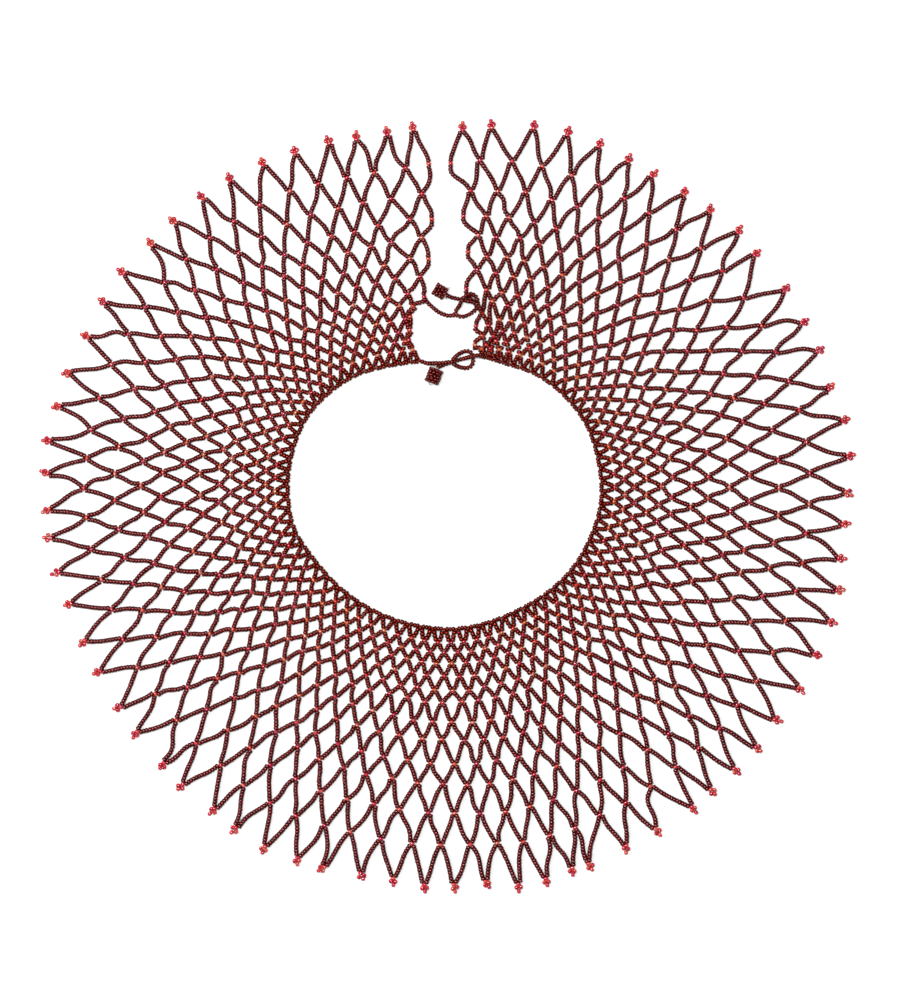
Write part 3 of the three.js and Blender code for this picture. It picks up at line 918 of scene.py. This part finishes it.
@dataclass(frozen=True)
class Strand:
    """A single string of beads along a smooth run."""

    places: Places
    joined: bool = False
    spacing: float = 1.42
    bead_diameter: float = 2.14
    fullness: float = 0.96
    tilt: float = 0.07
    sizes: tuple[float, float] = (0.96, 1.04)
    reach: tuple[float, float] = (0.2, 0.5)
    end_gap: Point = (0, 0, 0.02)

    def fill(self, parts: MeshParts, seed: int) -> int:
        """Adds the strand's beads and thread.

        Args:
            parts: The mesh to fill.
            seed: Start of the random numbers.

        Returns:
            The number of beads.
        """
        random = np.random.default_rng(seed)
        points = smooth_run(self.places, self.spacing, self.joined)
        if self.joined:
            axes = np.roll(points, -1, axis=0) - np.roll(points, 1, axis=0)
            path = np.concatenate([points, points[:1] + self.end_gap])
        else:
            axes, path = np.gradient(points, axis=0), points
        length = self.fullness * np.linalg.norm(np.diff(path, axis=0), axis=1).mean()
        size = self.bead_diameter * random.uniform(*self.sizes, len(points))
        axes = unit(axes) + random.normal(0, self.tilt, axes.shape)
        reach = random.uniform(*self.reach, len(points))
        ROUNDER_BEAD.fill(parts, BeadRow(points, axes, length, size, Glass.DARK, reach), seed + 1)
        THREAD.fill(parts, path[None])
        return len(points)


@dataclass(frozen=True)
class BeadToggle:
    """A toggle: a tube of beads side by side, their holes along its length, ring after ring."""

    name: str
    x: float
    y: float
    bearing: float
    length: float
    diameter: float
    rings: int
    around: int
    bead_diameter: float = 2.02
    fullness: float = 0.97
    scatter: float = 0.05
    least_height: float = 0.52
    start_turn: float = 0.25
    reach: float = 0.4
    seed: int = 31

    def build(self, materials: Materials) -> None:
        """Makes the toggle in place of its solid.

        Ring i holds beads at even turns round the axis, each ring turned half a bead from the last.

        Args:
            materials: Dark glass, clear red glass and thread.
        """
        angle = math.radians(self.bearing)
        axis = np.array([math.cos(angle), math.sin(angle), 0])
        side, up = np.array([-axis[1], axis[0], 0]), np.array([0, 0, 1.0])
        centre = np.array([self.x - MIDDLE[0], self.y - MIDDLE[1], self.diameter / 2])
        pitch = self.length / self.rings
        ring, bead = (grid.ravel() for grid in np.meshgrid(np.arange(self.rings), np.arange(self.around)))
        turn = 2 * math.pi * (bead + 0.5 * (ring % 2) + self.start_turn) / self.around
        spoke = np.cos(turn)[:, None] * side + np.sin(turn)[:, None] * up
        along = (ring - (self.rings - 1) / 2)[:, None] * pitch * axis
        centres = centre + along + (self.diameter - self.bead_diameter) / 2 * spoke
        centres = centres + np.random.default_rng(self.around * 7).normal(0, self.scatter, centres.shape)
        centres[:, 2] = np.maximum(centres[:, 2], self.least_height * self.bead_diameter)
        axes = np.tile(axis, (len(centres), 1))
        parts = MeshParts()
        row = BeadRow(centres, axes, self.fullness * pitch, self.bead_diameter, Glass.DARK, self.reach)
        ROUNDER_BEAD.fill(parts, row, self.seed)
        THREAD.fill(parts, centres.reshape(self.around, self.rings, 3))
        piece = build_piece(f"beads_{self.name}", parts, materials)
        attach(piece, "root")
        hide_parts(self.name)
        LOG.info("%s: %d beads", piece.name, len(centres))


@dataclass(frozen=True)
class Closure:
    """A loop on one side and a toggle on its stem on the other, fastened."""

    name: str
    tail: Places
    ring: Places
    stem: Places
    toggle: BeadToggle
    knot_threads: tuple[Places, ...]
    seed: int
    knot_spacing: float = 0.5

    def build(self, materials: Materials) -> None:
        """Makes the loop, the stem and the toggle, each in place of its solid, and bare thread.

        Args:
            materials: Dark glass, clear red glass and thread.
        """
        loop, stem, bare = MeshParts(), MeshParts(), MeshParts()
        beads = Strand(self.tail).fill(loop, self.seed)
        beads += Strand(self.ring, joined=True).fill(loop, self.seed + 10)
        stem_beads = Strand(self.stem).fill(stem, self.seed + 20)
        for parts, node in ((loop, f"loop_{self.name}"), (stem, f"stem_{self.name}")):
            piece = build_piece(f"beads_{node}", parts, materials)
            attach(piece, "root")
            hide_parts(node)
        self.toggle.build(materials)
        for places in self.knot_threads:
            BARE_THREAD.fill(bare, smooth_run(places, self.knot_spacing, False)[None])
        piece = build_piece(f"thread_{self.name}", bare, materials)
        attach(piece, "root")
        LOG.info("closure %s: loop %d beads, stem %d beads", self.name, beads, stem_beads)


UPPER_CLOSURE = Closure(
    name="upper",
    tail=(
        (-10.4, 95.9, 1), (-9.6, 94.7, 1), (-8.6, 93.6, 1), (-6.6, 91.9, 1), (-4.8, 90.4, 1),
        (-2.4, 89.2, 1), (0, 88.5, 1), (2, 88.6, 1), (3.8, 89, 1),
    ),
    ring=(
        (3.3, 89.6, 1), (4.7, 88.3, 1), (6.8, 88, 1), (9.1, 88.8, 1), (11.2, 90, 1),
        (12.8, 91.5, 1), (13.7, 93.3, 1), (13.6, 95.4, 1), (12.6, 97.4, 1), (10.9, 98.4, 1.7),
        (8.9, 98, 2.9), (7.1, 96.6, 3.5), (6, 94.6, 3.4), (5, 92.7, 2.2), (3.8, 91.1, 1.3),
    ),
    stem=(
        (15.2, 90.3, 3.4), (14.5, 92.3, 3.4), (13.1, 93.9, 3.4), (11.2, 94.7, 3.4), (9.4, 95.1, 2.7),
        (7.6, 95.5, 1.6), (5.8, 95.9, 1), (4.2, 96.3, 1), (1.8, 96.8, 1.4), (-0.5, 97.8, 2.2),
    ),
    toggle=BeadToggle("toggle_upper", -3.7, 99.6, -30, 6, 6.4, rings=4, around=7),
    knot_threads=(
        ((0.6, 101.4, 3.4), (-0.6, 100.2, 4.2), (-1.2, 98.6, 4.2), (-1.2, 97.2, 3.2), (-0.8, 96.2, 2.2)),
        ((-2.6, 98.8, 3.2), (-1.4, 98.2, 3), (-0.5, 97.8, 2.4)),
    ),
    seed=500,
)

LOWER_CLOSURE = Closure(
    name="lower",
    tail=(
        (-11.8, 67.3, 1), (-9.8, 66.6, 1.6), (-7.5, 66.5, 2.8), (-5.1, 66.6, 3.5), (-2.8, 66.7, 3.5),
        (-0.9, 66.9, 3.5), (1.8, 67.2, 3.5),
    ),
    ring=(
        (1.9, 67.2, 3.5), (2.9, 69, 3.2), (5, 70.9, 1.5), (7.6, 72.1, 1), (9.8, 72, 1),
        (11.1, 70.7, 1), (11.5, 68.8, 1), (11.4, 66.7, 1), (10.4, 65.1, 1), (8.6, 64.4, 1),
        (6.2, 64.6, 1.4), (3.7, 65.5, 2.6),
    ),
    stem=(
        (14.8, 70.3, 3.5), (12.8, 70, 3.5), (11, 69.7, 3.4), (9, 69.2, 2.4), (7.2, 68.7, 1.3),
        (5.2, 68.2, 1), (2.8, 67.4, 1), (-0.9, 66.3, 1), (-3.2, 65.4, 1.2), (-4.4, 65, 2.2),
    ),
    toggle=BeadToggle("toggle_lower", -6.5, 60.7, 68.5, 7, 7, rings=5, around=8),
    knot_threads=(
        ((-7.6, 65.2, 3.6), (-6.6, 65.1, 4.4), (-5.4, 64.5, 4.6), (-4.2, 63.8, 4.2)),
        ((-8.9, 57.6, 3.2), (-8.7, 56.9, 2.9), (-7.9, 56.5, 2.8), (-7.2, 56.8, 2.9)),
        ((-5.2, 63.4, 3.4), (-4.8, 64.2, 2.8), (-4.4, 65, 2.4)),
    ),
    seed=600,
)


@dataclass
class Palette:
    """A new material and its shader, with short ways to add nodes."""

    name: str

    def __post_init__(self) -> None:
        """Makes the material and finds its shader and its place on the piece."""
        self.made = bpy.data.materials.new(self.name)
        self.made.use_nodes = True
        self.nodes, self.links = self.made.node_tree.nodes, self.made.node_tree.links
        self.shader = self.nodes["Principled BSDF"]
        self.place = self.nodes.new("ShaderNodeTexCoord").outputs["Object"]

    def feed(self, slot: Socket, value: Socket | float | Colour) -> None:
        """Gives an input a value.

        Args:
            slot: The input.
            value: An output to link to it, or the input's own number or colour.
        """
        if isinstance(value, bpy.types.NodeSocket):
            self.links.new(value, slot)
        else:
            slot.default_value = (*value, 1.0) if slot.type == "RGBA" else value

    def finish(self, **values: Socket | float | Colour) -> bpy.types.Material:
        """Feeds the shader and hands over the material.

        Args:
            values: The shader's inputs by name, with underscores for spaces.

        Returns:
            The material.
        """
        for key, value in values.items():
            self.feed(self.shader.inputs[key.replace("_", " ")], value)
        return self.made

    def attribute(self, key: str) -> Socket:
        """The value of a per-bead attribute.

        Args:
            key: The attribute's name.

        Returns:
            The value's output.
        """
        node = self.nodes.new("ShaderNodeAttribute")
        node.attribute_name = key
        return node.outputs["Fac"]

    def noise(self, waves: float, detail: float = 2.0) -> Socket:
        """Noise from 0 to 1 over the piece.

        Args:
            waves: Waves to the metre.
            detail: How many finer layers it has.

        Returns:
            The noise's output.
        """
        node = self.nodes.new("ShaderNodeTexNoise")
        for key, value in (("Scale", waves), ("Detail", detail), ("Vector", self.place)):
            self.feed(node.inputs[key], value)
        return node.outputs["Fac"]

    def ramp(self, stops: Stops, share: Socket) -> Socket:
        """Colours along a ramp.

        Args:
            stops: Positions from 0 to 1 with linear colours.
            share: Where the ramp is read.

        Returns:
            The colour's output.
        """
        node = self.nodes.new("ShaderNodeValToRGB")
        elements = node.color_ramp.elements
        while len(elements) < len(stops):
            elements.new(0.5)
        for element, (position, colour) in zip(elements, stops):
            element.position, element.color = position, (*colour, 1.0)
        self.feed(node.inputs["Fac"], share)
        return node.outputs["Color"]

    def spread(
        self, value: Socket, to: tuple[float, float], ends: tuple[float, float] = (0.0, 1.0)
    ) -> Socket:
        """A value carried evenly from one range into another.

        Args:
            value: The value.
            to: The range it is carried to.
            ends: The range it comes from.

        Returns:
            The new value's output.
        """
        node = self.nodes.new("ShaderNodeMapRange")
        for key, number in zip(("Value", "From Min", "From Max", "To Min", "To Max"), (value, *ends, *to)):
            self.feed(node.inputs[key], number)
        return node.outputs["Result"]

    def sum(self, a: Socket, a_share: float, b: Socket, b_share: float) -> Socket:
        """Two values added up, each by its share.

        Args:
            a: The first value.
            a_share: What the first is multiplied by.
            b: The second value.
            b_share: What the second is multiplied by.

        Returns:
            The sum's output.
        """
        parts = []
        for value, share in ((a, a_share), (b, b_share)):
            node = self.nodes.new("ShaderNodeMath")
            node.operation = "MULTIPLY"
            self.feed(node.inputs[0], value)
            self.feed(node.inputs[1], share)
            parts.append(node.outputs[0])
        node = self.nodes.new("ShaderNodeMath")
        self.feed(node.inputs[0], parts[0])
        self.feed(node.inputs[1], parts[1])
        return node.outputs[0]

    def mix(self, share: Socket, a: Socket | Colour, b: Socket | Colour) -> Socket:
        """A mix of two colours.

        Args:
            share: How much of the second colour there is.
            a: The first colour.
            b: The second colour.

        Returns:
            The colour's output.
        """
        node = self.nodes.new("ShaderNodeMix")
        node.data_type = "RGBA"
        for place, value in ((0, share), (6, a), (7, b)):
            self.feed(node.inputs[place], value)
        return node.outputs[2]


@dataclass(frozen=True)
class GlassFinish:
    """Pressed glass: its shades from bead to bead, painted shade at the ends of the holes, its gloss and its
    slight waviness.
    """

    name: str
    near: Stops
    far: Stops
    # colour painted over the ends of each hole as shade where neighbouring beads meet, and how much of it
    mouth_shade_colour: Colour
    mouth_shade_share: float
    roughness: tuple[float, float]
    near_gleam: Colour
    far_gleam: Colour
    transmission: float = 0.0
    subsurface: float = 0.0
    drift_waves: float = 38.0
    tone_share: float = 0.72
    drift_share: float = 0.28
    streak_waves: float = 1600.0
    streak_detail: float = 3.0
    streak_share: float = 0.12
    bump: float = 0.1
    bump_depth: float = 0.0002
    face_on: tuple[float, float] = (0.1, 0.5)
    gloss: tuple[float, float] = (1.0, 0.05)
    glow: Colour = (1.0, 0.2, 0.1)
    glow_depth: float = 0.0012
    ior: float = 1.6

    def material(self) -> bpy.types.Material:
        """Builds the node material.

        A bead's shade comes from its own tone, between the neck's colours and the tips', with
        slow drifts of colour over the collar, painted shade at the ends of the hole where beads meet, and
        slight waviness.

        Returns:
            The material.
        """
        palette = Palette(self.name)
        tone, reach, mouth_shade = (palette.attribute(key) for key in ("bead_tone", "bead_reach", "bead_mouth_shade"))
        shade = palette.sum(tone, self.tone_share, palette.noise(self.drift_waves), self.drift_share)
        body = palette.mix(reach, palette.ramp(self.near, shade), palette.ramp(self.far, shade))
        streaks = palette.noise(self.streak_waves, self.streak_detail)
        # painted shade at the ends of each hole, with fine streaks of darker glass laid in
        shade_and_streaks = palette.sum(mouth_shade, self.mouth_shade_share, streaks, self.streak_share)
        bump = palette.nodes.new("ShaderNodeBump")
        for key, value in (("Strength", self.bump), ("Distance", self.bump_depth), ("Height", streaks)):
            palette.feed(bump.inputs[key], value)
        edge = palette.nodes.new("ShaderNodeLayerWeight").outputs["Facing"]
        return palette.finish(
            # the body colour darkened towards the painted shade colour at the ends of the holes
            Base_Color=palette.mix(shade_and_streaks, body, self.mouth_shade_colour),
            Roughness=palette.spread(streaks, self.roughness),
            Normal=bump.outputs["Normal"],
            Specular_IOR_Level=palette.spread(edge, self.gloss, self.face_on),
            Specular_Tint=palette.mix(reach, self.near_gleam, self.far_gleam),
            IOR=self.ior,
            Transmission_Weight=self.transmission,
            Subsurface_Weight=self.subsurface,
            Subsurface_Radius=self.glow,
            Subsurface_Scale=self.glow_depth,
        )


DARK_GLASS = GlassFinish(
    name="dark_garnet_glass",
    near=((0.0, (0.035, 0.0003, 0.0002)), (0.5, (0.062, 0.0008, 0.0005)), (1.0, (0.105, 0.003, 0.0015))),
    far=((0.0, (0.038, 0.0007, 0.0015)), (0.5, (0.062, 0.0018, 0.0035)), (1.0, (0.1, 0.005, 0.008))),
    # near-black painted shade at the ends of the holes, where beads meet
    mouth_shade_colour=(0.006, 0.0002, 0.0002),
    mouth_shade_share=0.7,
    roughness=(0.16, 0.28),
    near_gleam=(1.0, 0.15, 0.09),
    far_gleam=(1.0, 0.34, 0.32),
)

RED_GLASS = GlassFinish(
    name="clear_red_glass",
    near=(
        (0.1, (0.45, 0.006, 0.06)), (0.35, (0.6, 0.008, 0.02)), (0.6, (0.78, 0.05, 0.015)),
        (0.75, (0.82, 0.15, 0.02)), (0.95, (0.85, 0.38, 0.22)),
    ),
    far=(
        (0.1, (0.62, 0.012, 0.08)), (0.5, (0.85, 0.03, 0.06)),
        (0.8, (0.92, 0.1, 0.06)), (0.95, (0.95, 0.3, 0.24)),
    ),
    # deep red painted shade at the ends of the holes, where beads meet
    mouth_shade_colour=(0.25, 0.002, 0.008),
    mouth_shade_share=0.5,
    roughness=(0.08, 0.17),
    near_gleam=(1.0, 0.8, 0.78),
    far_gleam=(1.0, 0.82, 0.84),
    transmission=0.35,
    subsurface=0.3,
)


@dataclass(frozen=True)
class PaleFinish:
    """Clear nylon thread or white card: two pale shades laid over each other by fine noise."""

    name: str
    dull: Colour
    pale: Colour
    waves: float
    roughness: float
    transmission: float = 0.0
    specular: float = 0.5
    patches: tuple[float, float] = (0.3, 0.7)

    def material(self) -> bpy.types.Material:
        """Builds the node material, the dull shade below the patches' range and the pale above.

        Returns:
            The material.
        """
        palette = Palette(self.name)
        stops = tuple(zip(self.patches, (self.dull, self.pale)))
        return palette.finish(
            Base_Color=palette.ramp(stops, palette.noise(self.waves)),
            Roughness=self.roughness,
            Transmission_Weight=self.transmission,
            Specular_IOR_Level=self.specular,
        )


CLEAR_THREAD = PaleFinish(
    name="clear_thread",
    dull=(0.5, 0.42, 0.33),
    pale=(0.72, 0.66, 0.56),
    waves=900.0,
    roughness=0.28,
    transmission=0.4,
)
WHITE_CARD = PaleFinish(
    name="white_card",
    dull=(0.75, 0.75, 0.745),
    pale=(0.77, 0.77, 0.77),
    waves=300.0,
    roughness=0.8,
    specular=0.1,
)


@dataclass(frozen=True)
class Softbox:
    """A square soft light: where it hangs and its side, in metres, and its power in watts."""

    name: str
    place: Point
    side: float
    watts: float

    def hang(self) -> None:
        """Hangs the light so that it faces the collar's middle.

        It leans from straight down by the angle between its height and its distance aside.
        """
        lamp = bpy.data.lights.new(self.name, "AREA")
        lamp.shape, lamp.size, lamp.energy = "SQUARE", self.side, self.watts
        held = bpy.data.objects.new(self.name, lamp)
        held.location = x, y, z = self.place
        held.rotation_euler = (math.atan2(math.hypot(x, y), z), 0, math.atan2(y, x) + math.pi / 2)
        bpy.context.scene.collection.objects.link(held)


@dataclass(frozen=True)
class Studio:
    """The white table, the soft light and the camera straight above."""

    softboxes: tuple[Softbox, ...] = (
        Softbox("overhead", (-0.1, 0.15, 1.7), 0.5, 34),
        Softbox("left_fill", (-1.3, 0.35, 1.3), 0.7, 17),
    )
    world_light: float = 0.2
    photo_height: int = 993
    mm_per_pixel: float = 0.46
    view_centre: tuple[float, float] = (1.08, 3.88)
    lens: float = 200.0
    sensor: float = 36.0
    far_limit: float = 20.0
    table_side: float = 6.0
    table_squares: int = 8

    def table(self) -> None:
        """Makes the table: a wide square of white card in even squares, with a faint tooth."""
        half, squares = self.table_side / 2, self.table_squares
        steps = np.linspace(-half, half, squares + 1)
        x, y = np.meshgrid(steps, steps)
        points = np.stack([x.ravel(), y.ravel(), np.full(x.size, TABLE_TOP)], -1)
        here = (np.arange(squares)[:, None] * (squares + 1) + np.arange(squares)[None]).ravel()
        quads = np.stack([here, here + 1, here + squares + 2, here + squares + 1], -1)
        mesh = bpy.data.meshes.new("table")
        mesh.from_pydata(points.tolist(), [], quads.tolist())
        mesh.materials.append(WHITE_CARD.material())
        table = bpy.data.objects.new("table", mesh)
        bpy.context.scene.collection.objects.link(table)

    def camera(self) -> None:
        """Puts a long lens straight above, so that the frame spans the photographed height."""
        data = bpy.data.cameras.new("camera")
        data.lens, data.sensor_width, data.clip_end = self.lens, self.sensor, self.far_limit
        height = self.photo_height * self.mm_per_pixel * self.lens / self.sensor
        camera = bpy.data.objects.new("camera", data)
        camera.location = np.array([*self.view_centre, height + 1]) * MM
        bpy.context.scene.collection.objects.link(camera)
        bpy.context.scene.camera = camera

    def build(self) -> None:
        """Sets up the table, world, lights, camera and view."""
        self.table()
        world = bpy.data.worlds.new("studio")
        world.use_nodes = True
        background = world.node_tree.nodes["Background"]
        background.inputs["Color"].default_value = (1, 1, 1, 1)
        background.inputs["Strength"].default_value = self.world_light
        bpy.context.scene.world = world
        for softbox in self.softboxes:
            softbox.hang()
        self.camera()
        bpy.context.scene.view_settings.view_transform = "Standard"


def main() -> None:
    """Builds the collar piece by piece."""
    logging.basicConfig(level=logging.INFO, format="%(name)s: %(message)s")
    Studio().build()
    materials = [finish.material() for finish in (DARK_GLASS, RED_GLASS, CLEAR_THREAD)]
    Net().build(materials)
    NECKBAND.build(materials)
    for closure in (UPPER_CLOSURE, LOWER_CLOSURE):
        closure.build(materials)


if __name__ == "__main__":
    main()
